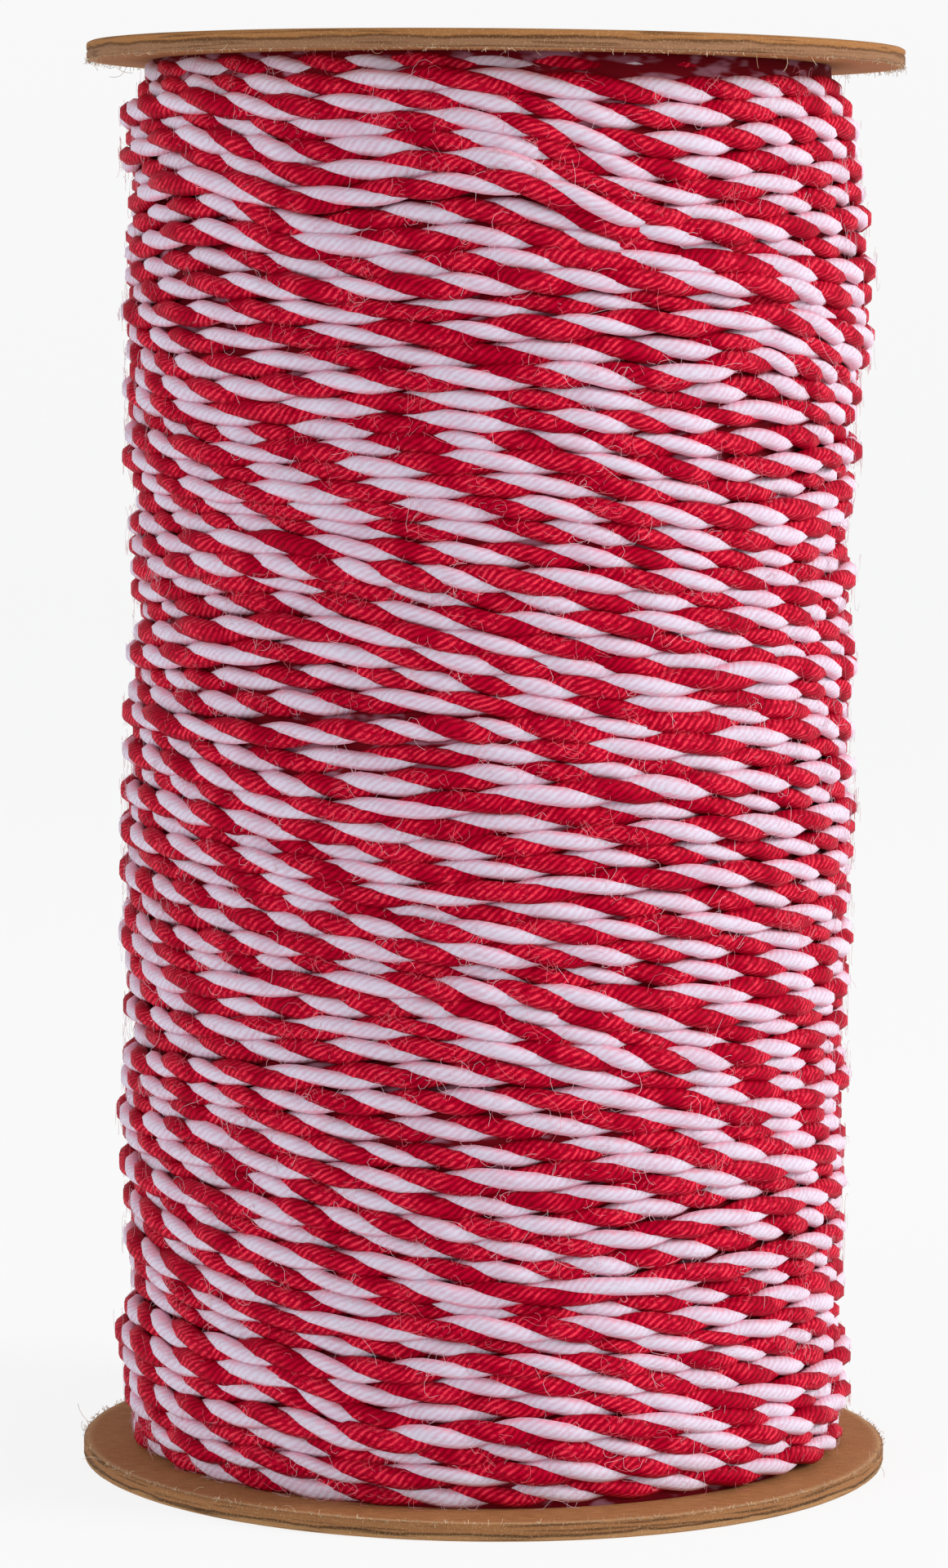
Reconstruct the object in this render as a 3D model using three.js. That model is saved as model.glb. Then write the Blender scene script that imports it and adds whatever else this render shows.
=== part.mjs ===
// A spool of baker's twine: one long two-strand cord, wound in close turns between two
// round flanges of pressed board. The winding is a single solid of the wound form. Its
// surface is raised into the helical ridge of the turns, with the humps and hollows that
// uneven winding leaves.
// Millimetres, +Z up, origin at the centre of the lower flange's underside. Angles are in
// degrees round the axis, counted from the front, which is -Y, towards +X.
import * as THREE from "three";

// Driving dimensions
const SPOOL_HEIGHT = 95.8;
const FLANGE_DIAMETER = 55;
const FLANGE_THICKNESS = 1.2;
const RIM_ROUNDING = 0.4;
const PIECE_GAP = 0.3;
const WINDING_RADIUS = 24.0;
const TURNS = 66;
const RIDGE_HEIGHT = 0.55;
const TURN_UNEVENNESS = 0.28;
const END_DROP = 0.5;
const END_DROP_REACH = 1.8;

// Fineness of the meshes
const FLANGE_SEGMENTS = 72;
const RIM_STEPS = 3;
const WINDING_COLUMNS = 36;
const ROWS_PER_TURN = 2;

// Colours
const BOARD_COLOUR = 0xa87b4f;
const TWINE_COLOUR = 0xc8283c;

const WINDING_BOTTOM = FLANGE_THICKNESS + PIECE_GAP;
const WINDING_TOP = SPOOL_HEIGHT - WINDING_BOTTOM;
const TURN_PITCH = (WINDING_TOP - WINDING_BOTTOM) / TURNS;
const HALF_TURN = 180;

// Where the twine has piled up or sunk in: the middle, half extents and rise of each place.
const HUMPS = {
  upperRightHump: { angle: 88, height: 79.5, halfAngle: 48, halfHeight: 6.5, rise: 1.1 },
  topRightHollow: { angle: 92, height: 92.0, halfAngle: 42, halfHeight: 2.4, rise: -0.7 },
  rightHollow: { angle: 90, height: 68.0, halfAngle: 40, halfHeight: 3.6, rise: -0.5 },
  rightMiddleHump: { angle: 95, height: 41.0, halfAngle: 45, halfHeight: 4.0, rise: 0.3 },
  lowerRightHump: { angle: 85, height: 4.5, halfAngle: 45, halfHeight: 3.0, rise: 0.4 },
  upperLeftHump: { angle: -88, height: 90.0, halfAngle: 38, halfHeight: 2.8, rise: 0.7 },
  leftShoulder: { angle: -90, height: 77.0, halfAngle: 45, halfHeight: 7.0, rise: 0.5 },
  leftWaist: { angle: -90, height: 59.0, halfAngle: 45, halfHeight: 4.5, rise: -0.4 },
  leftMiddleHump: { angle: -92, height: 39.0, halfAngle: 45, halfHeight: 7.0, rise: 0.4 },
  leftLowerHump: { angle: -90, height: 27.0, halfAngle: 35, halfHeight: 2.6, rise: 0.4 },
  leftFootHollow: { angle: -88, height: 13.2, halfAngle: 35, halfHeight: 1.6, rise: -0.4 },
  leftFootHump: { angle: -92, height: 9.2, halfAngle: 38, halfHeight: 2.2, rise: 0.7 },
  backUpperHump: { angle: 175, height: 70.0, halfAngle: 50, halfHeight: 6.0, rise: 0.6 },
  backWaist: { angle: 190, height: 50.0, halfAngle: 45, halfHeight: 5.0, rise: -0.4 },
  backLowerHump: { angle: 170, height: 24.0, halfAngle: 50, halfHeight: 5.0, rise: 0.5 },
};

// The waves that make each turn's ridge a little higher or lower than the next.
const WANDER_WAVES = [
  { share: 0.6, perTurn: 2.7, start: 0 },
  { share: 0.4, perTurn: 4.3, start: 1.1 },
];

// The difference of two angles, from -180 to 180 degrees.
function angleBetween(a, b) {
  return THREE.MathUtils.euclideanModulo(a - b + HALF_TURN, 2 * HALF_TURN) - HALF_TURN;
}

// How far the winding stands out at a place, from the humps and hollows alone.
function humpRise(angle, height) {
  let rise = 0;
  for (const hump of Object.values(HUMPS)) {
    const across = angleBetween(angle, hump.angle) / hump.halfAngle;
    const along = (height - hump.height) / hump.halfHeight;
    rise += hump.rise * Math.exp(-across * across - along * along);
  }
  return rise;
}

// A slow wander from -1 to 1 along the winding, which differs from one turn to the next.
function turnWander(turnsUp) {
  let sum = 0;
  for (const wave of WANDER_WAVES) sum += wave.share * Math.sin(wave.perTurn * turnsUp + wave.start);
  return sum;
}

// Radius of the wound surface. share runs from 0 in a groove to 1 on a ridge.
function windingRadius(angle, height, share, turnsUp) {
  const fromEnd = Math.min(height - WINDING_BOTTOM, WINDING_TOP - height);
  const drop = END_DROP * Math.max(0, 1 - fromEnd / END_DROP_REACH) ** 2;
  const ridge = (RIDGE_HEIGHT + TURN_UNEVENNESS * turnWander(turnsUp)) * share;
  return WINDING_RADIUS + humpRise(angle, height) - drop + ridge * Math.min(1, fromEnd / TURN_PITCH);
}

function pointAt(angle, radius, height) {
  const turned = THREE.MathUtils.degToRad(angle);
  return [radius * Math.sin(turned), -radius * Math.cos(turned), height];
}

// Rows of points climb the winding as a helix, a groove row and a ridge row for each turn,
// and each column is a fixed angle. Rows past an end are gathered into that end's ring.
function windingGeometry() {
  const positions = [];
  const addPoint = (point) => positions.push(...point) / 3 - 1;
  const columnAngle = (column) => (2 * HALF_TURN * column) / WINDING_COLUMNS;
  const endRing = (height) =>
    Array.from({ length: WINDING_COLUMNS }, (_, column) => {
      const angle = columnAngle(column);
      return addPoint(pointAt(angle, windingRadius(angle, height, 0, 0), height));
    });
  const lowRing = endRing(WINDING_BOTTOM);
  const highRing = endRing(WINDING_TOP);

  const gridPoint = (row, column) => {
    const turnsUp = row / ROWS_PER_TURN - 1 + column / WINDING_COLUMNS;
    const height = WINDING_BOTTOM + TURN_PITCH * turnsUp;
    if (height <= WINDING_BOTTOM) return lowRing[column];
    if (height >= WINDING_TOP) return highRing[column];
    const angle = columnAngle(column);
    return addPoint(pointAt(angle, windingRadius(angle, height, row % ROWS_PER_TURN, turnsUp), height));
  };
  const rows = ROWS_PER_TURN * (TURNS + 1) + 1;
  const grid = Array.from({ length: rows + ROWS_PER_TURN }, (_, row) =>
    Array.from({ length: WINDING_COLUMNS }, (_, column) => gridPoint(row, column)),
  );
  // One step past the last column is the first column, a whole turn higher.
  const corner = (row, column) =>
    column < WINDING_COLUMNS ? grid[row][column] : grid[row + ROWS_PER_TURN][0];

  const faces = [];
  const addFace = (a, b, c) => {
    if (a !== b && b !== c && c !== a) faces.push(a, b, c);
  };
  for (let row = 0; row + 1 < rows; row++) {
    for (let column = 0; column < WINDING_COLUMNS; column++) {
      const [a, b] = [corner(row, column), corner(row, column + 1)];
      const [d, c] = [corner(row + 1, column), corner(row + 1, column + 1)];
      addFace(a, b, c);
      addFace(a, c, d);
    }
  }
  const lowMiddle = addPoint([0, 0, WINDING_BOTTOM]);
  const highMiddle = addPoint([0, 0, WINDING_TOP]);
  for (let column = 0; column < WINDING_COLUMNS; column++) {
    const next = (column + 1) % WINDING_COLUMNS;
    addFace(lowMiddle, lowRing[next], lowRing[column]);
    addFace(highMiddle, highRing[column], highRing[next]);
  }

  const geometry = new THREE.BufferGeometry();
  geometry.setAttribute("position", new THREE.Float32BufferAttribute(positions, 3));
  geometry.setIndex(faces);
  geometry.computeVertexNormals();
  return geometry;
}

// A flat disc of board with its rim slightly rounded, turned about +Z from z = 0 up.
function flangeGeometry() {
  const radius = FLANGE_DIAMETER / 2;
  const profile = [new THREE.Vector2(0, 0)];
  const addRounding = (middleHeight, from) => {
    for (let step = 0; step <= RIM_STEPS; step++) {
      const turned = THREE.MathUtils.degToRad(from + ((HALF_TURN / 2) * step) / RIM_STEPS);
      profile.push(
        new THREE.Vector2(
          radius - RIM_ROUNDING + RIM_ROUNDING * Math.cos(turned),
          middleHeight + RIM_ROUNDING * Math.sin(turned),
        ),
      );
    }
  };
  addRounding(RIM_ROUNDING, -HALF_TURN / 2);
  addRounding(FLANGE_THICKNESS - RIM_ROUNDING, 0);
  profile.push(new THREE.Vector2(0, FLANGE_THICKNESS));
  return new THREE.LatheGeometry(profile, FLANGE_SEGMENTS).rotateX(Math.PI / 2);
}

function flange(name, height) {
  const board = new THREE.MeshStandardMaterial({ color: BOARD_COLOUR, roughness: 0.85, metalness: 0 });
  const mesh = new THREE.Mesh(flangeGeometry(), board);
  mesh.name = name;
  mesh.position.z = height;
  return mesh;
}

function winding() {
  const twine = new THREE.MeshStandardMaterial({ color: TWINE_COLOUR, roughness: 0.95, metalness: 0 });
  const mesh = new THREE.Mesh(windingGeometry(), twine);
  mesh.name = "winding";
  return mesh;
}

const spool = new THREE.Group();
spool.add(flange("flange_bottom", 0));
spool.add(winding());
spool.add(flange("flange_top", SPOOL_HEIGHT - FLANGE_THICKNESS));

export default spool;
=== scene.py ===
# A spool of baker's twine: red and white cotton twine, wound in close turns between two
# round boards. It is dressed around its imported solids. Lengths are worked out in
# millimetres, and angles in degrees round the spool, from the front towards +X.
import math
import bpy
import numpy as np
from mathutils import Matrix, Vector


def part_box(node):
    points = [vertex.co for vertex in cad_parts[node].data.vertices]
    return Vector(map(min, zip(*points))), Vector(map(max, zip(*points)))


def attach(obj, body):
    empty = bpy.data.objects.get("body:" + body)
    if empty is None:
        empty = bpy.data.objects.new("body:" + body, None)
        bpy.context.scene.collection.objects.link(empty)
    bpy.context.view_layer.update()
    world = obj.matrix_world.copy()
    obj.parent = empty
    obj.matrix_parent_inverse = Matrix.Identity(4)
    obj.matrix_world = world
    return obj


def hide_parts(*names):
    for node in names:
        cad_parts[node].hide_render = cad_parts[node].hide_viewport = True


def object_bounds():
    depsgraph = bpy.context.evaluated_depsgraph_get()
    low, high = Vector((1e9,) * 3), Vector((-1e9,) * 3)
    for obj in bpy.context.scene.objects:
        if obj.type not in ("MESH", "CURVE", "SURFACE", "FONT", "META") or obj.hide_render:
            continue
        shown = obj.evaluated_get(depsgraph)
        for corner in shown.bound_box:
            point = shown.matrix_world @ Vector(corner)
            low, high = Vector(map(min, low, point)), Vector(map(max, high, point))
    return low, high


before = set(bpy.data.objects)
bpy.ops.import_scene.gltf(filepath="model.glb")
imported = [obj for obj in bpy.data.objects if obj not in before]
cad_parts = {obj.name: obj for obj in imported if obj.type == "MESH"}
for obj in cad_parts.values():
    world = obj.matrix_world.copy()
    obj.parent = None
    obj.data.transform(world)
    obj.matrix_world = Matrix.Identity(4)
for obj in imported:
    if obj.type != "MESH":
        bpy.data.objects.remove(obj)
cad_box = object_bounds()


# The two boards
# Each end of the spool is a disc punched from layered kraft board with a smooth brown paper
# on both faces. The punch leaves a rough edge that splits along its layers, and a lip of torn
# paper fibres on the side that faces the twine.
MM = 0.001
BOARD_AROUND = 400
BOARD_RINGS = (0.3, 0.6, 0.8, 0.9, 0.95, 0.98)
BOARD_EDGE_STEPS = 14
BOARD_ROUNDING = 0.22
BOARD_INSET = 0.05
BOARD_SPLIT_WIDTH = 0.06
BOARD_SPLIT_DEPTHS = {"middle": 0.054, "least": 0.009, "most": 0.135}
BOARD_EDGE_DEPTH = 0.3
LIP_FIBRES = {"count": 800, "steps": 4, "radius": 0.016, "sunk": 0.04, "curl": 1.2}
LIP_LENGTHS = {"shortest": 0.12, "longest": 0.42, "extra": 1.6, "rarity": 40}
LIP_LEAN = {"outward": 0.3, "scatter": 0.7}
FIBRE_SIDES = 3
CURL_CHANGE = 0.4
BAKE_FILL = 0.95

# Seeded waves round a board: the spread of each, and its reach in places. They move its edge,
# deepen and shift its split, and roughen it.
BOARD_WAVE = {"spread": 0.02, "reach": 60}
BOARD_SPLIT_DEPTH = {"spread": 0.045, "reach": 30}
BOARD_SPLIT_STRAY = {"spread": 0.05, "reach": 50}
BOARD_ROUGHNESS = {"spread": 0.012, "reach": 3}

# Each board: its solid and seed, how far up its split lies as a share of its thickness, the side
# of its torn lip, and the colours of its edge above, below and along the split.
BOARDS = {
    "board_bottom": {
        "solid": "flange_bottom",
        "seed": 20,
        "split": 0.36,
        "lip": "upper",
        "upper": (0.26, 0.115, 0.045, 1),
        "lower": (0.32, 0.165, 0.07, 1),
        "line": (0.045, 0.02, 0.008, 1),
    },
    "board_top": {
        "solid": "flange_top",
        "seed": 21,
        "split": 0.55,
        "lip": "lower",
        "upper": (0.31, 0.135, 0.045, 1),
        "lower": (0.25, 0.125, 0.065, 1),
        "line": (0.09, 0.035, 0.012, 1),
    },
}


def box_of(node):
    """The lowest and highest corners of a solid, in millimetres."""
    return [np.array(corner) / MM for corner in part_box(node)]


def drift(random, count, spread, reach):
    """Seeded noise with waves about reach samples long, which closes on itself."""
    distance = np.minimum(np.arange(count), count - np.arange(count))
    window = np.exp(-2 * (2 * distance / reach) ** 2)
    wave = np.fft.ifft(np.fft.fft(random.normal(size=count)) * np.fft.fft(window)).real
    return spread * (wave / wave.std())


def unit(vectors):
    return vectors / np.linalg.norm(vectors, axis=-1, keepdims=True)


def piece(name, points, faces, maps, material, replaced):
    """Adds a smooth mesh of triangles, which rides on the spool and stands for a solid."""
    mesh = bpy.data.meshes.new(name)
    mesh.vertices.add(len(points))
    mesh.vertices.foreach_set("co", (MM * points).astype(np.float32).ravel())
    mesh.loops.add(faces.size)
    mesh.loops.foreach_set("vertex_index", faces.astype(np.int32).ravel())
    mesh.polygons.add(len(faces))
    mesh.polygons.foreach_set("loop_start", np.arange(0, faces.size, 3, dtype=np.int32))
    mesh.update(calc_edges=True)
    mesh.shade_smooth()
    for map_name, places in maps.items():
        layer = mesh.uv_layers.new(name=map_name)
        layer.uv.foreach_set("vector", places.astype(np.float32).ravel())
    mesh.materials.append(material)
    made = bpy.data.objects.new(name, mesh)
    bpy.context.scene.collection.objects.link(made)
    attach(made, "root")
    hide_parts(replaced)


def turned_body(rings):
    """A closed body round the axis from rings, each with a radius for each place and a height."""
    columns = len(rings[0][0])
    angle = np.linspace(0, 2 * math.pi, columns, endpoint=False)
    points = [
        np.stack([radii * np.sin(angle), -radii * np.cos(angle), np.full(columns, height)], axis=1)
        for radii, height in rings
    ]
    points += [np.array([[0, 0, rings[0][1]], [0, 0, rings[-1][1]]])]
    row, column = (grid.ravel() for grid in np.mgrid[0 : len(rings) - 1, 0:columns])
    here = row * columns + column
    beside = row * columns + (column + 1) % columns
    first, last = np.arange(columns), len(rings) * columns - columns + np.arange(columns)
    centres = np.full((2, columns), [[len(rings) * columns], [len(rings) * columns + 1]])
    triangles = (
        (here, beside, beside + columns),
        (here, beside + columns, here + columns),
        (centres[0], np.roll(first, -1), first),
        (centres[1], last, np.roll(last, -1)),
    )
    return np.concatenate(points), np.concatenate([np.stack(t, axis=1) for t in triangles])


def tubes(paths, radii, sides):
    """Closed tubes along paths, which start round from their inner side.

    It also gives the tube, the step along it and the place round it of each corner of a face.
    """
    count, steps = paths.shape[:2]
    ahead = unit(np.gradient(paths, axis=1))
    out = paths * (1, 1, 0)
    out = unit(out - (out * ahead).sum(axis=2, keepdims=True) * ahead)
    aside = np.cross(ahead, out)
    turn = (2 * math.pi * np.arange(sides) / sides)[None, None, :, None]
    spokes = -out[:, :, None] * np.cos(turn) - aside[:, :, None] * np.sin(turn)
    points = (paths[:, :, None] + radii[:, :, None, None] * spokes).reshape(-1, 3)
    step, corner = (grid.ravel() for grid in np.mgrid[0 : steps - 1, 0:sides])
    walls = np.stack([[step, corner], [step, corner + 1], [step + 1, corner + 1], [step + 1, corner]])
    walls = np.concatenate([walls[[0, 2, 1]], walls[[0, 3, 2]]], axis=2).transpose(2, 0, 1)
    fan = np.arange(1, sides - 1)
    start, end = np.zeros_like(fan), np.full_like(fan, steps - 1)
    caps = np.stack([[start, start], [start, fan], [start, fan + 1]]).transpose(2, 0, 1)
    far_caps = np.stack([[end, start], [end, fan + 1], [end, fan]]).transpose(2, 0, 1)
    spots = np.tile(np.concatenate([walls, caps, far_caps]), (count, 1, 1))
    tube = np.repeat(np.arange(count), len(spots) // count)[:, None]
    faces = (tube * steps + spots[..., 0]) * sides + spots[..., 1] % sides
    return points, faces, tube, spots[..., 0], spots[..., 1]


def bake_map(cell, along, around, columns):
    """Gives each cell of tube its own oblong of the picture that its colours are kept in."""
    rows = cell.max() // columns + 1
    across = (cell % columns + BAKE_FILL * along) / columns
    up = (cell // columns + BAKE_FILL * around) / rows
    return np.stack([across, up], axis=-1)


def curls(random, roots, headings, lengths, curl, steps):
    """Paths of loose fibres from their roots. Each bends by about curl radians in all."""
    axis = curl / steps * random.normal(size=roots.shape)
    path = [roots]
    for _ in range(steps):
        headings = unit(headings + np.cross(axis, headings))
        axis = axis + CURL_CHANGE * curl / steps * random.normal(size=roots.shape)
        path.append(path[-1] + headings * lengths[:, None] / steps)
    return np.stack(path, axis=1)


def fibre_piece(name, paths, radius, material, replaced):
    """Fibres as thin tubes in one mesh."""
    points, faces, tube, step, corner = tubes(paths, np.full(paths.shape[:2], radius), FIBRE_SIDES)
    columns = math.ceil(math.sqrt(len(paths)) / 2)
    along = step / (paths.shape[1] - 1)
    maps = {"OFBake": bake_map(tube, along, corner / FIBRE_SIDES, columns)}
    piece(name, points, faces, maps, material, replaced)


class Signal:
    """A socket of a material. Sums with it add Math nodes."""

    def __init__(self, finish, socket):
        self.finish = finish
        self.socket = socket

    def math(self, operation, *values):
        settings = {"operation": operation}
        return self.finish.node("ShaderNodeMath", settings, dict(enumerate(values)))

    def __add__(self, other):
        return self.math("ADD", self, other)

    def __radd__(self, other):
        return self.math("ADD", other, self)

    def __sub__(self, other):
        return self.math("SUBTRACT", self, other)

    def __rsub__(self, other):
        return self.math("SUBTRACT", other, self)

    def __mul__(self, other):
        return self.math("MULTIPLY", self, other)

    def __rmul__(self, other):
        return self.math("MULTIPLY", other, self)

    def __truediv__(self, other):
        return self.math("DIVIDE", self, other)

    def __pow__(self, other):
        return self.math("POWER", self, other)

    def cosine(self):
        return self.math("COSINE", self)

    def size(self):
        return self.math("ABSOLUTE", self)

    def between(self, low, high):
        """0 below low and 1 above high, with a smooth rise between them."""
        settings = {"interpolation_type": "SMOOTHSTEP"}
        values = {"Value": self, "From Min": low, "From Max": high}
        return self.finish.node("ShaderNodeMapRange", settings, values)


class Finish:
    """A material under construction."""

    def __init__(self, name):
        self.material = bpy.data.materials.new(name)
        self.material.use_nodes = True
        self.tree = self.material.node_tree
        self.tree.nodes.clear()

    def node(self, kind, settings, values, output=0):
        """Adds a node, sets it up, then feeds its sockets with numbers, colours or signals."""
        made = self.tree.nodes.new(kind)
        for key, setting in settings.items():
            setattr(made, key, setting)
        for key, value in values.items():
            if isinstance(value, Signal):
                self.tree.links.new(value.socket, made.inputs[key])
            else:
                made.inputs[key].default_value = value
        return Signal(self, made.outputs[output]) if made.outputs else None

    def place(self):
        """Where a point lies on the spool."""
        return self.node("ShaderNodeTexCoord", {}, {}, 3)

    def mix(self, factor, first, second):
        """The first colour where factor is 0, the second where it is 1."""
        values = {0: factor, 6: first, 7: second}
        return self.node("ShaderNodeMix", {"data_type": "RGBA"}, values, 2)

    def noise(self, vector, scale, detail):
        """Noise whose grains are a metre over scale wide, in each of three directions."""
        stretched = self.node("ShaderNodeVectorMath", {"operation": "MULTIPLY"}, {0: vector, 1: scale})
        values = {"Vector": stretched, "Scale": 1.0, "Detail": detail}
        return self.node("ShaderNodeTexNoise", {}, values)

    def parts(self, vector):
        split = self.node("ShaderNodeSeparateXYZ", {}, {0: vector}).socket.node
        return [Signal(self, output) for output in split.outputs]

    def bump(self, height, depth):
        """Relief from a height of 0 to 1, as deep as depth in millimetres."""
        values = {"Height": height, "Strength": 1.0, "Distance": depth * MM}
        return self.node("ShaderNodeBump", {}, values)

    def surface(self, values):
        shader = self.node("ShaderNodeBsdfPrincipled", {}, values)
        self.node("ShaderNodeOutputMaterial", {}, {"Surface": shader})
        return self.material


def board_rings(low, high, split, random):
    """Rings up the board: its lower face, its split edge and its upper face."""
    radius = (high[0] - low[0]) / 2
    thickness = high[2] - low[2]
    wave = drift(random, BOARD_AROUND, **BOARD_WAVE)
    split_depth = BOARD_SPLIT_DEPTHS["middle"] + drift(random, BOARD_AROUND, **BOARD_SPLIT_DEPTH)
    split_depth = np.clip(split_depth, BOARD_SPLIT_DEPTHS["least"], BOARD_SPLIT_DEPTHS["most"])
    split_share = split + drift(random, BOARD_AROUND, **BOARD_SPLIT_STRAY)
    faces = [np.full(BOARD_AROUND, radius * share) for share in BOARD_RINGS]
    rings = [(face, low[2]) for face in faces]
    for step in range(BOARD_EDGE_STEPS + 1):
        share = step / BOARD_EDGE_STEPS
        from_face = min(share, 1 - share) * thickness
        short = max(0.0, BOARD_ROUNDING - from_face)
        inset = BOARD_ROUNDING - math.sqrt(BOARD_ROUNDING**2 - short**2)
        cut = split_depth * np.exp(-(((share - split_share) / BOARD_SPLIT_WIDTH) ** 2))
        rough = np.abs(drift(random, BOARD_AROUND, **BOARD_ROUGHNESS))
        out = radius - BOARD_INSET - inset + wave - cut - rough
        rings.append((out, low[2] + share * thickness))
    return rings + [(face, high[2]) for face in reversed(faces)]


def board_finish(name, low, high, board):
    """Brown paper faces with a faint mottle and short fibres, and a rough layered edge."""
    face_dark = (0.27, 0.105, 0.038, 1)
    face_light = (0.50, 0.235, 0.095, 1)
    face_pale = (0.55, 0.35, 0.18, 1)
    radius = (high[0] - low[0]) / 2
    finish = Finish(name)
    place = finish.place()
    x, y, z = finish.parts(place)
    out = (x * x + y * y) ** 0.5 / MM
    share = (z / MM - low[2]) / (high[2] - low[2])
    mottle = finish.noise(place, (110, 110, 110), 5.0)
    grain = finish.noise(place, (9000, 9000, 9000), 2.0)
    hairs = finish.noise(place, (900, 3800, 900), 3.0)
    paper = mottle.between(0.3, 0.7) * 0.16 + grain.between(0.3, 0.7) * 0.4 + hairs.between(0.3, 0.7) * 0.44
    face = finish.mix(paper, face_dark, face_light)
    near_lip = out.between(radius - 3 * BOARD_EDGE_DEPTH, radius - BOARD_EDGE_DEPTH)
    face = finish.mix(near_lip * 0.6, face, face_pale)
    layers = finish.noise(place, (170, 170, 5600), 4.0)
    wander = finish.noise(place, (240, 240, 240), 3.0)
    split = share - (board["split"] - 0.25) - wander * 0.5
    edge = finish.mix(split.between(-0.06, 0.06), board["lower"], board["upper"])
    edge = finish.mix(layers.between(0.5, 0.66) * 0.7, edge, board["line"])
    edge = finish.mix((1.0 - split.size().between(0.02, 0.12)) * 0.8, edge, board["line"])
    edge = finish.mix(grain.between(0.5, 0.75) * 0.35, edge, face_pale)
    at_edge = out.between(radius - BOARD_EDGE_DEPTH, radius - BOARD_EDGE_DEPTH / 2)
    colour = finish.mix(at_edge, face, edge)
    relief = grain * 0.5 + layers * at_edge
    return finish.surface(
        {
            "Base Color": colour,
            "Roughness": 0.8,
            "Specular IOR Level": 0.1,
            "Normal": finish.bump(relief, 0.05),
        }
    )


def paper_fibre_finish():
    """Torn ends of brown paper, paler than the board."""
    dark = (0.38, 0.25, 0.14, 1)
    pale = (0.68, 0.52, 0.36, 1)
    finish = Finish("paper fibre")
    tone = finish.noise(finish.place(), (900, 900, 900), 1.0)
    colour = finish.mix(tone.between(0.35, 0.65), dark, pale)
    return finish.surface({"Base Color": colour, "Roughness": 0.8, "Specular IOR Level": 0.2})


def lip_fibres(low, high, side, random):
    """Short torn fibres round the lip of a board, with a few longer ones."""
    count = LIP_FIBRES["count"]
    radius = (high[0] - low[0]) / 2 - BOARD_INSET - BOARD_ROUNDING / 2
    angle = random.uniform(0, 2 * math.pi, count)
    outward = np.stack([np.sin(angle), -np.cos(angle), np.zeros_like(angle)], axis=1)
    upward = 1 if side == "upper" else -1
    height = (high[2] if side == "upper" else low[2]) - LIP_FIBRES["sunk"] * upward
    roots = outward * radius + (0, 0, height)
    lean = random.normal(scale=LIP_LEAN["scatter"], size=(count, 3)) + (0, 0, upward)
    headings = unit(LIP_LEAN["outward"] * outward + lean)
    lengths = random.uniform(LIP_LENGTHS["shortest"], LIP_LENGTHS["longest"], count)
    lengths += LIP_LENGTHS["extra"] * random.uniform(0, 1, count) ** LIP_LENGTHS["rarity"]
    return curls(random, roots, headings, lengths, LIP_FIBRES["curl"], LIP_FIBRES["steps"])


paper_fibres = paper_fibre_finish()
for name, board in BOARDS.items():
    random = np.random.default_rng(board["seed"])
    low, high = box_of(board["solid"])
    points, faces = turned_body(board_rings(low, high, board["split"], random))
    material = board_finish(name.replace("_", " "), low, high, board)
    piece(name, points, faces, {}, material, board["solid"])
    paths = lip_fibres(low, high, board["lip"], random)
    fibres = name.replace("board", "fibres")
    fibre_piece(fibres, paths, LIP_FIBRES["radius"], paper_fibres, board["solid"])


# The twine
# One cotton twine, laid up from a red and a white strand, each of several fine plies spun the
# other way. It is wound on the spool as a close helix. The turns and strands press into each
# other, so each strand is eased aside until it fits between its neighbours.
TURNS = 66
PLACES = 192
TWISTS_PER_TURN = 19.26
STRAND_DIAMETER = 1.27
STRAND_SHARES = {"red": 1.03, "white": 0.92}
PAIR_DISTANCE = 0.6
PRESSED_DISTANCE = 0.98
PAIR_SINK = 0.62
END_FLAT = 0.35
TUBE_SIDES = 7
FIRST_ANGLE = 180
PLY_COUNT = 7
PLY_SPACING = 0.49
TWINE_SEED = 4

# How the strands are eased aside: how stiffly a pair holds together, how strongly it is drawn
# back to its lay, how much of an overlap each round undoes, and how far bends are smoothed.
# Heights are also drawn a little towards the mean of the turns above and below.
EASING = {"rounds": 260, "hold": 0.35, "draw": 0.02, "push": 0.6, "smooth": 0.2}
EVENING = (0.0, 0.08)

# How the ridges of the solid are smoothed away: the steps of the table that holds its radius,
# and how far the radius at a place is averaged, in degrees and millimetres.
WOUND_STEPS = {"around": 72, "up": 93}
WOUND_REACH = {"angle": 12.0, "height": 1.6}

# How far the strands vary in thickness, and how far the lay of the turns strays from an even
# helix: the spread of each wave, and its reach in places along the twine.
STRAND_UNEVEN = {"spread": 0.08, "reach": 30}
STRAY_HEIGHT = {"spread": 0.3, "reach": 38}
STRAY_OUT = {"spread": 0.13, "reach": 38}
STRAY_TWIST = (
    {"spread": 2.6, "reach": 280},
    {"spread": 1.4, "reach": 88},
    {"spread": 0.7, "reach": 29},
)

# Every second turn stands a little proud of the ones beside it. The stretches where it does
# wander round the spool.
PROUD = {"height": 0.3, "waves": 1.5}
PROUD_WANDER = {"spread": 1.6, "reach": 600}

# Broad waves that all turns follow: how high each one is, how many there are round the
# spool, how far each turn of the wave climbs, and where it starts.
WAVES = (
    {"height": 0.5, "around": 2, "climb": 25.0, "start": 0.4},
    {"height": 0.35, "around": 3, "climb": -33.0, "start": 2.0},
    {"height": 0.3, "around": 5, "climb": 19.0, "start": 4.1},
)
WAVE_FADE = 8.0

# How far the last turns sink in under the upper board, and how far down that reaches.
TOP_DROP = {"depth": 1.2, "reach": 2.0}

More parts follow.
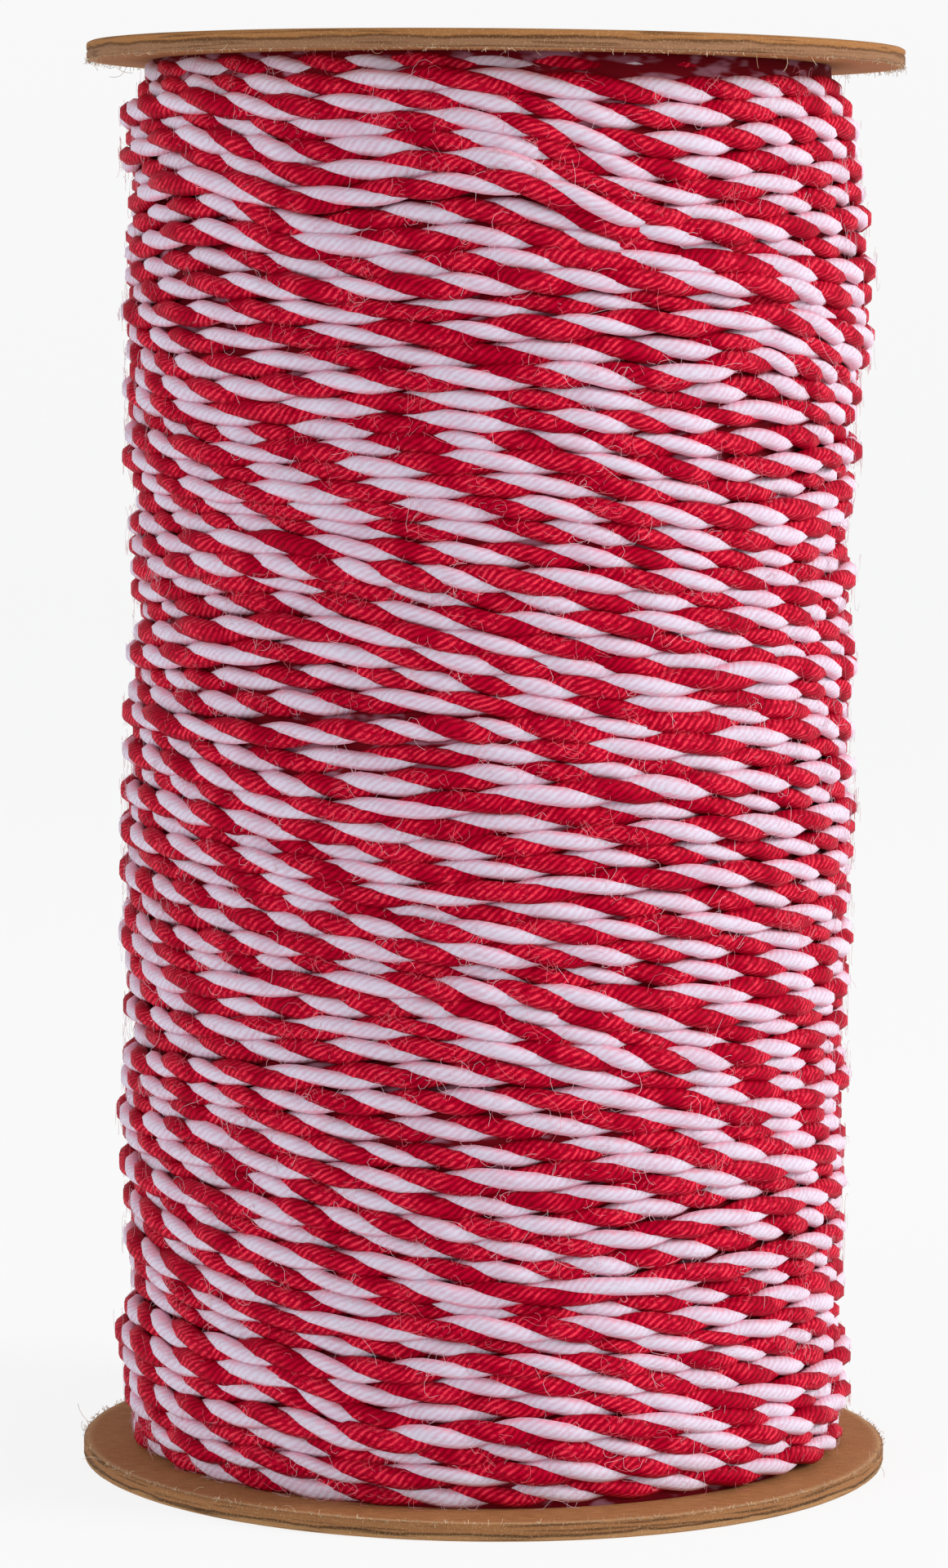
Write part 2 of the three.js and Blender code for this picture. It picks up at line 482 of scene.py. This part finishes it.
# Single turns that ride over their neighbours: the middle and half extent of each stretch,
# how far it falls from its left to its right, and how far it lifts off.
RIDERS = {
    "upper middle": {"angle": 14, "height": 86.0, "half_angle": 16, "fall": 2.6, "lift": 0.6},
    "upper left": {"angle": -38, "height": 84.5, "half_angle": 12, "fall": 1.8, "lift": 0.4},
    "middle right": {"angle": 33, "height": 74.0, "half_angle": 12, "fall": -1.4, "lift": 0.4},
    "lower left": {"angle": -25, "height": 7.0, "half_angle": 12, "fall": 1.6, "lift": 0.4},
    "back": {"angle": 150, "height": 55.0, "half_angle": 14, "fall": 1.8, "lift": 0.4},
}

# Stretches of the winding where the turns slope together: the middle and half extent of each,
# and how far the turns fall from its left to its right.
SWERVES = {
    "upper middle": {"angle": 8, "height": 87, "half_angle": 26, "half_height": 5.5, "fall": 1.5},
    "upper left": {"angle": -42, "height": 87.5, "half_angle": 20, "half_height": 5, "fall": 1.2},
    "lower left": {"angle": -26, "height": 8, "half_angle": 14, "half_height": 4, "fall": 0.9},
    "right": {"angle": 40, "height": 75, "half_angle": 14, "half_height": 3, "fall": -0.8},
}

# A soft nub, where the white strand swells and its cotton works loose.
NUB = {"angle": 4.0, "height": 87.7, "half_angle": 6.0, "half_height": 0.7, "swell": 0.35}


def wound_radius(angle, height):
    """How far out the solid's winding lies at each place, smoothed over its ridges."""
    corners = np.array([corner.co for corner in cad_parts["winding"].data.vertices]) / MM
    out = np.hypot(corners[:, 0], corners[:, 1])
    corners = corners[out > out.max() / 2]
    out = out[out > out.max() / 2]
    corner_angle = np.degrees(np.arctan2(corners[:, 0], -corners[:, 1]))
    angles = np.linspace(-180, 180, WOUND_STEPS["around"] + 1)
    heights = np.linspace(corners[:, 2].min(), corners[:, 2].max(), WOUND_STEPS["up"] + 1)
    across = np.abs(angles[:, None] - corner_angle[None])
    across = np.minimum(across, 360 - across) / WOUND_REACH["angle"]
    along = (heights[:, None] - corners[None, :, 2]) / WOUND_REACH["height"]
    weight_across = np.exp(-(across**2))
    weight_along = np.exp(-(along**2))
    table = (weight_across * out) @ weight_along.T / (weight_across @ weight_along.T)
    column = (np.asarray(angle) + 180) % 360 / (angles[1] - angles[0])
    row = np.clip((height - heights[0]) / (heights[1] - heights[0]), 0, len(heights) - 1.001)
    c, r = column.astype(int), row.astype(int)
    u, v = column - c, row - r
    low = table[c, r] * (1 - v) + table[c, r + 1] * v
    high = table[c + 1, r] * (1 - v) + table[c + 1, r + 1] * v
    return low * (1 - u) + high * u


def easing(guide, pair, low, high):
    """Moves the two strands, in the plane through the axis, until the turns fit together."""
    laid = guide + pair
    strands = laid.copy()
    for _ in range(EASING["rounds"]):
        centre = strands.mean(axis=0)
        strands += EASING["hold"] * (centre + pair - strands) + EASING["draw"] * (guide - centre)
        beside = (centre[2 * PLACES :] + centre[: -2 * PLACES]) / 2 - centre[PLACES:-PLACES]
        strands[:, PLACES:-PLACES] += EVENING * beside
        move = np.zeros_like(strands)
        for gap in (PLACES, 2 * PLACES):
            for lower in (0, 1):
                for upper in (0, 1):
                    apart = strands[upper, gap:] - strands[lower, :-gap]
                    distance = np.maximum(np.linalg.norm(apart, axis=1), 1e-6)
                    push = np.clip(PRESSED_DISTANCE - distance, 0, None) / distance / 2
                    move[upper, gap:] += push[:, None] * apart
                    move[lower, :-gap] -= push[:, None] * apart
        strands += EASING["push"] * move
        shift = strands - laid
        strands[:, 1:-1] += EASING["smooth"] * (shift[:, 2:] + shift[:, :-2] - 2 * shift[:, 1:-1])
        strands[:, :, 1] = np.clip(strands[:, :, 1], low, high)
    return strands


def on_spool(out, angle, height):
    """Points at a distance from the axis, an angle round it and a height."""
    turned = np.radians(angle)
    return np.stack([out * np.sin(turned), -out * np.cos(turned), height], axis=-1)


def from_nub(path):
    """How far each place of a path lies from the middle of the nub, as shares of its extent."""
    aside = np.degrees(np.arctan2(path[:, 0], -path[:, 1])) - NUB["angle"]
    return np.hypot(aside / NUB["half_angle"], (path[:, 2] - NUB["height"]) / NUB["half_height"])


def strand_finish(name, look):
    """Cotton plies slantwise round a strand, fine curled fibre along its sides, painted shade and
    highlights.
    """
    finish = Finish(name)
    around, along, _ = finish.parts(finish.node("ShaderNodeUVMap", {"uv_map": "ply"}, {}))
    place = finish.place()
    wander = finish.noise(place, (700, 700, 700), 0.0)
    turned = around * (2 * math.pi * PLY_COUNT) + along * (2 * math.pi / PLY_SPACING)
    ridge = (turned + wander * 6.0).cosine() * 0.5 + 0.5
    streak = finish.noise(place, (1500, 1500, 3500), 2.0)
    cloud = finish.noise(place, (420, 420, 420), 1.0)
    # Painted shade: the colour darkens in the valleys between the ply ridges, mixed with tone that varies
    # at random.
    shade = ridge * look["ridges"] + streak * 0.4 + cloud * 0.4
    colour = finish.mix(shade.between(0.3, 0.62), look["deep"], look["full"])
    # Painted highlight: a paler colour on the tops of the ply ridges, in broken streaks, stands in for
    # glints of light.
    painted_glint = ridge.between(0.45, 0.95) * streak.between(0.38, 0.56) * cloud.between(0.36, 0.56)
    colour = finish.mix(painted_glint * look["painted_glint_share"], colour, look["painted_glint"])
    # Towards the sides of a strand the colour changes: on the red this is painted shade; on the white it is
    # a pink that is partly bled red dye and partly painted light thrown back from the red.
    side = ((around - 0.5).size() + (streak - 0.5) * 0.3).between(0.07, 0.22)
    colour = finish.mix(side * look["sides"], colour, look["side"])
    # Curled fibres painted along the strand. On the red they are coral: loose fibre, and partly painted
    # sheen where fine fibre catches the light.
    for grain in (1500, 2300):
        tangle = (finish.noise(place, (grain, grain, grain), 1.0) - 0.5).size()
        curl = 1.0 - tangle.between(0.004, 0.014)
        spread = cloud.between(0.42, 0.62) * (side * 0.7 + 0.3)
        colour = finish.mix(curl * spread * look["curls"], colour, look["curl"])
    return finish.surface(
        {
            "Base Color": colour,
            "Roughness": look["roughness"],
            "Specular IOR Level": look["shine"],
            "Specular Tint": look["tint"],
            "Subsurface Weight": look["depth"],
            "Subsurface Radius": look["reach"],
            "Subsurface Scale": MM,
            "Normal": finish.bump(ridge * 0.7 + streak * 0.3, look["relief"]),
        }
    )


board_low, board_high = box_of("flange_bottom")[1][2], box_of("flange_top")[0][2]
count = TURNS * PLACES
turns_up = np.arange(count) / PLACES
turns_climbed = np.clip(turns_up, END_FLAT, TURNS - END_FLAT) - END_FLAT
strand_angle = FIRST_ANGLE + 360 * turns_up
twine_height = 0.5 * (PAIR_DISTANCE + STRAND_DIAMETER)
turn_pitch = (board_high - board_low - twine_height) / (TURNS - 2 * END_FLAT)
level = board_low + twine_height / 2 + turn_pitch * turns_climbed
swerve = np.zeros(count)
lift = np.zeros(count)
full_fall = math.sqrt(2 * math.e) / 2
for spot in SWERVES.values():
    across = ((strand_angle - spot["angle"] + 180) % 360 - 180) / spot["half_angle"]
    along = (level - spot["height"]) / spot["half_height"]
    swerve -= spot["fall"] * full_fall * across * np.exp(-(across**2) - along**2)
for rider in RIDERS.values():
    aside = np.abs((strand_angle - rider["angle"] + 180) % 360 - 180)
    middle = np.argmin(aside + np.abs(level - rider["height"]) / turn_pitch)
    across = (strand_angle - strand_angle[middle]) / rider["half_angle"]
    swerve -= rider["fall"] * full_fall * across * np.exp(-(across**2))
    lift += rider["lift"] * np.exp(-(across**2))
fade = np.clip(np.minimum(level - board_low, board_high - level) / WAVE_FADE, 0, 1)
for wave in WAVES:
    turned = np.radians(wave["around"] * strand_angle) + 2 * math.pi * level / wave["climb"]
    swerve += fade * wave["height"] * np.sin(turned + wave["start"])
random = np.random.default_rng(TWINE_SEED)
stray_height = drift(random, count, **STRAY_HEIGHT)
stray_out = drift(random, count, **STRAY_OUT)
wander = drift(random, count, **PROUD_WANDER)
stray_out += PROUD["height"] * np.cos(2 * math.pi * PROUD["waves"] * turns_up + wander)
guide_out = wound_radius(strand_angle, level) - PAIR_SINK + stray_out + lift
guide_out -= TOP_DROP["depth"] * np.exp(-(((board_high - level) / TOP_DROP["reach"]) ** 2))
phase = -2 * math.pi * TWISTS_PER_TURN * turns_up
for stray in STRAY_TWIST:
    phase += drift(random, count, **stray)
half_pair = PAIR_DISTANCE / 2 * np.stack([np.cos(phase), np.sin(phase)], axis=1)
strands = easing(
    np.stack([guide_out, level + swerve + stray_height], axis=1),
    np.stack([half_pair, -half_pair]),
    board_low + STRAND_DIAMETER / 2,
    board_high - STRAND_DIAMETER / 2,
)
strand_paths = dict(zip(("red", "white"), on_spool(strands[..., 0], strand_angle, strands[..., 1])))

# The colours of each strand. Deep is darker tone, partly painted shade in the ply valleys; the glint colour
# is a painted highlight; the side colour is painted shade on the red, and on the white a pink that is
# partly bled dye and partly painted light thrown back from the red; the red curl is partly painted sheen.
LOOKS = {
    "red": {
        "deep": (0.20, 0.0002, 0.008, 1),
        "full": (0.42, 0.0005, 0.021, 1),
        "painted_glint": (0.90, 0.055, 0.09, 1),
        "painted_glint_share": 0.68,
        "side": (0.28, 0.0004, 0.012, 1),
        "sides": 0.5,
        "curl": (0.75, 0.10, 0.14, 1),
        "curls": 0.5,
        "tint": (1.0, 0.18, 0.22, 1),
        "shine": 0.05,
        "roughness": 0.55,
        "depth": 0.0,
        "reach": (0.6, 0.1, 0.12),
        "ridges": 0.25,
        "relief": 0.027,
    },
    "white": {
        "deep": (0.57, 0.40, 0.50, 1),
        "full": (0.61, 0.55, 0.65, 1),
        "painted_glint": (0.60, 0.60, 0.69, 1),
        "painted_glint_share": 0.6,
        "side": (0.74, 0.30, 0.40, 1),
        "sides": 0.8,
        "curl": (0.60, 0.24, 0.32, 1),
        "curls": 0.35,
        "tint": (1.0, 0.9, 0.95, 1),
        "shine": 0.05,
        "roughness": 0.8,
        "depth": 0.3,
        "reach": (0.5, 0.35, 0.4),
        "ridges": 0.2,
        "relief": 0.024,
    },
}
cottons = {colour: strand_finish(f"{colour} cotton", look) for colour, look in LOOKS.items()}
place_length = 2 * math.pi * guide_out.mean() / PLACES
for colour, path in strand_paths.items():
    for part, first, last in (("lower", 0, count // 2 + 1), ("upper", count // 2, count)):
        radius = STRAND_SHARES[colour] * STRAND_DIAMETER / 2
        radii = radius * (1 + drift(random, last - first, **STRAND_UNEVEN))
        if colour == "white":
            radii *= 1 + NUB["swell"] * np.exp(-(from_nub(path[first:last]) ** 2))
        points, faces, _, step, corner = tubes(path[None, first:last], radii[None], TUBE_SIDES)
        turn = step.min(axis=1, keepdims=True) // PLACES
        around = corner / TUBE_SIDES
        maps = {
            "OFBake": bake_map(turn, step / PLACES - turn, around, 1),
            "ply": np.stack([around, place_length * (step + first)], axis=-1),
        }
        name = f"strand_{colour}_{part}"
        piece(name, points, faces, maps, cottons[colour], "winding")


# The layer beneath
# The turns wound before lie under the outer ones, and show only as a dim red and pale ground
# in the narrow gaps between them. They are dressed as one ridged body.
BED_AROUND = 96
BED_RINGS = 140
BED_DEPTH = 0.95
BED_RIDGE = 0.18


def bed_finish():
    """Shaded red cotton, with dull patches where the white strand lies."""
    shaded_red = (0.13, 0.0006, 0.005, 1)
    shaded_white = (0.30, 0.12, 0.17, 1)
    finish = Finish("twine beneath")
    patches = finish.noise(finish.place(), (330, 330, 1100), 2.0).between(0.52, 0.66)
    colour = finish.mix(patches, shaded_red, shaded_white)
    return finish.surface({"Base Color": colour, "Roughness": 0.9, "Specular IOR Level": 0.1})


bed_angle = 360 / BED_AROUND * np.arange(BED_AROUND)
bed_height = np.linspace(board_low, board_high, BED_RINGS)[:, None]
ridge = np.cos(2 * math.pi * ((bed_height - board_low) / turn_pitch - bed_angle / 360))
bed_out = wound_radius(bed_angle, bed_height) - BED_DEPTH + BED_RIDGE * ridge
bed_rings = list(zip(bed_out, bed_height[:, 0]))
points, faces = turned_body(bed_rings)
piece("twine_beneath", points, faces, {}, bed_finish(), "winding")


# The loose fibres
# Fine ends of cotton stand out all over the twine and curl over the strands next to them.
# Those of the white strand are nearly white, and those of the red one coral in the light.
FIBRE_COUNT = 4000
FIBRE_STEPS = 5
FIBRE_RADIUS = 0.01
FIBRE_CURL = 3.0
FIBRE_SHORTEST = 0.6
FIBRE_LONGEST = 4.4
FIBRE_LIFTS = (0.02, 0.18)
FIBRE_LEAN = (-1.5, 0.7)
FIBRE_ROOT = 0.92
FIBRE_CLUMP = {"spread": 1.0, "reach": 24}
FIBRE_CROWDING = (-2, 1)
FIBRE_OUTWARD = 0.3
FIBRE_SPREAD = (1.0, 1.0, 0.8)
FIBRE_CLEAR = 0.05
FIBRE_SHADE = 0.7
FIBRE_SEED = 8
FIBRE_COLOURS = {"red": (0.85, 0.20, 0.25), "white": (0.90, 0.62, 0.69)}

# The nub has fibres of its own: how many, how much shorter they are, and how strongly they
# lie along the twine.
NUB_FIBRES = 600
NUB_SHORTER = 0.3
NUB_ALONG = 4.0


def fuzz(path, other, nub, random):
    """Fibres from where a strand lies over the other one, outside the winding, between the boards."""
    out = np.hypot(path[:, 0], path[:, 1])
    shown = out > np.hypot(other[:, 0], other[:, 1])
    crowd = np.exp(np.clip(drift(random, len(path), **FIBRE_CLUMP), *FIBRE_CROWDING)) * shown
    spots = random.choice(len(path), FIBRE_COUNT, p=crowd / crowd.sum())
    longest, along = np.full(FIBRE_COUNT, FIBRE_LONGEST), np.zeros((FIBRE_COUNT, 1))
    if nub:
        spots[:NUB_FIBRES] = random.choice(np.flatnonzero(from_nub(path) < 1), NUB_FIBRES)
        longest[:NUB_FIBRES] *= NUB_SHORTER
        along[:NUB_FIBRES] = NUB_ALONG
    outward = unit(path[spots] * (1, 1, 0))
    lean = unit(outward + random.uniform(*FIBRE_LEAN, FIBRE_COUNT)[:, None] * (0, 0, 1))
    roots = path[spots] + FIBRE_ROOT * STRAND_DIAMETER / 2 * lean
    round_spool = np.cross((0, 0, 1), outward) * random.choice((-1, 1), (FIBRE_COUNT, 1))
    scatter = FIBRE_SPREAD * random.normal(size=roots.shape)
    headings = FIBRE_OUTWARD * outward + scatter + along * round_spool
    lengths = random.triangular(FIBRE_SHORTEST, FIBRE_SHORTEST, longest)
    paths = curls(random, roots, unit(headings), lengths, FIBRE_CURL, FIBRE_STEPS)
    out = np.hypot(paths[..., 0], paths[..., 1])
    lift = random.uniform(*FIBRE_LIFTS, (FIBRE_COUNT, 1))
    kept = out[:, :1] + lift * np.abs(out - out[:, :1])
    heights = np.clip(paths[..., 2], board_low + FIBRE_CLEAR, board_high - FIBRE_CLEAR)
    return np.stack([paths[..., 0] * kept / out, paths[..., 1] * kept / out, heights], axis=-1)


def fibre_finish(name, colour):
    """A fine thread of one colour, darker in places."""
    dark = (*(FIBRE_SHADE * part for part in colour), 1)
    finish = Finish(name)
    tone = finish.noise(finish.place(), (700, 700, 700), 1.0)
    shade = finish.mix(tone, dark, (*colour, 1))
    return finish.surface({"Base Color": shade, "Roughness": 0.7, "Specular IOR Level": 0.3})


random = np.random.default_rng(FIBRE_SEED)
for colour, other in (("red", "white"), ("white", "red")):
    material = fibre_finish(f"{colour} fibre", FIBRE_COLOURS[colour])
    for part, half in (("lower", slice(0, count // 2)), ("upper", slice(count // 2, count))):
        nub = (colour, part) == ("white", "upper")
        paths = fuzz(strand_paths[colour][half], strand_paths[other][half], nub, random)
        fibre_piece(f"fuzz_{colour}_{part}", paths, FIBRE_RADIUS, material, "winding")


# The studio
# The spool stands in the middle of a seamless pale sheet, which is round and turns up into a
# low wall. A broad soft light stands at the right of the camera, and a weaker one fills the left.
SHEET_RADIUS = 1.6
SHEET_BEND = 0.4
SHEET_TOP = 0.6
SHEET_STEPS = 12
SHEET_SIDES = 96
SHEET_GREY = (0.12, 0.12, 0.12, 1)
SHEET_GLOW = 0.85
LIGHTS = {
    "key": {"place": (0.83, -0.18, 0.38), "size": 0.45, "power": 7.7, "colour": (1.0, 0.97, 0.95)},
    "fill": {"place": (-0.6, -0.7, 0.3), "size": 0.6, "power": 3.0, "colour": (0.96, 0.97, 1.0)},
}
ROOM_COLOUR = (0.95, 0.97, 1.0, 1)
ROOM_STRENGTH = 0.44


def sheet_finish():
    """A dull sheet that glows a little, so that it stays evenly pale."""
    finish = Finish("pale sheet")
    return finish.surface(
        {
            "Base Color": SHEET_GREY,
            "Roughness": 1.0,
            "Specular IOR Level": 0.0,
            "Emission Color": (1, 1, 1, 1),
            "Emission Strength": SHEET_GLOW,
        }
    )


def sheet():
    """A round floor that curves up into a wall, turned from its outline."""
    line = [(0.0, 0.0, 0.0)]
    for turned in np.linspace(0, math.pi / 2, SHEET_STEPS):
        out = SHEET_RADIUS - SHEET_BEND * (1 - math.sin(turned))
        line.append((out, 0.0, SHEET_BEND * (1 - math.cos(turned))))
    line.append((SHEET_RADIUS, 0.0, SHEET_TOP))
    mesh = bpy.data.meshes.new("pale_sheet")
    mesh.from_pydata(line, [(k, k + 1) for k in range(len(line) - 1)], [])
    mesh.materials.append(sheet_finish())
    made = bpy.data.objects.new("pale_sheet", mesh)
    bpy.context.scene.collection.objects.link(made)
    turning = made.modifiers.new("turning", "SCREW")
    turning.steps = SHEET_SIDES
    turning.render_steps = SHEET_SIDES
    turning.use_merge_vertices = True


def soft_light(name, place, size, power, colour):
    """A round lamp that faces the middle of the spool."""
    lamp = bpy.data.lights.new(name, "AREA")
    lamp.shape = "DISK"
    lamp.size = size
    lamp.energy = power
    lamp.color = colour
    made = bpy.data.objects.new(name, lamp)
    bpy.context.scene.collection.objects.link(made)
    made.location = place
    aim = (cad_box[0] + cad_box[1]) / 2 - made.location
    made.rotation_mode = "QUATERNION"
    made.rotation_quaternion = aim.to_track_quat("-Z", "Y")


sheet()
for name, light in LIGHTS.items():
    soft_light(name, **light)
world = bpy.data.worlds.new("studio")
world.use_nodes = True
room = world.node_tree.nodes["Background"].inputs
room["Color"].default_value = ROOM_COLOUR
room["Strength"].default_value = ROOM_STRENGTH
bpy.context.scene.world = world
bpy.context.scene.view_settings.view_transform = "Standard"


# The camera
# It stands a little to the left of the spool, near the height of its upper board. It looks
# slightly down and leans slightly to the left, as the photograph does.
PHOTO_HEIGHT = 1920
FOCAL_PIXELS = 6668.3
SENSOR = 36.0
CAMERA_PLACE = (-0.00104, -0.36883, 0.08019)
CAMERA_DIP = 0.0923
CAMERA_LEAN = 0.0089
lens = bpy.data.cameras.new("camera")
lens.sensor_width = SENSOR
lens.lens = FOCAL_PIXELS * SENSOR / PHOTO_HEIGHT
lens.clip_start = 0.01
camera = bpy.data.objects.new("camera", lens)
bpy.context.scene.collection.objects.link(camera)
camera.location = CAMERA_PLACE
camera.rotation_mode = "ZYX"
camera.rotation_euler = (math.pi / 2 - CAMERA_DIP, 0.0, CAMERA_LEAN)
bpy.context.scene.camera = camera
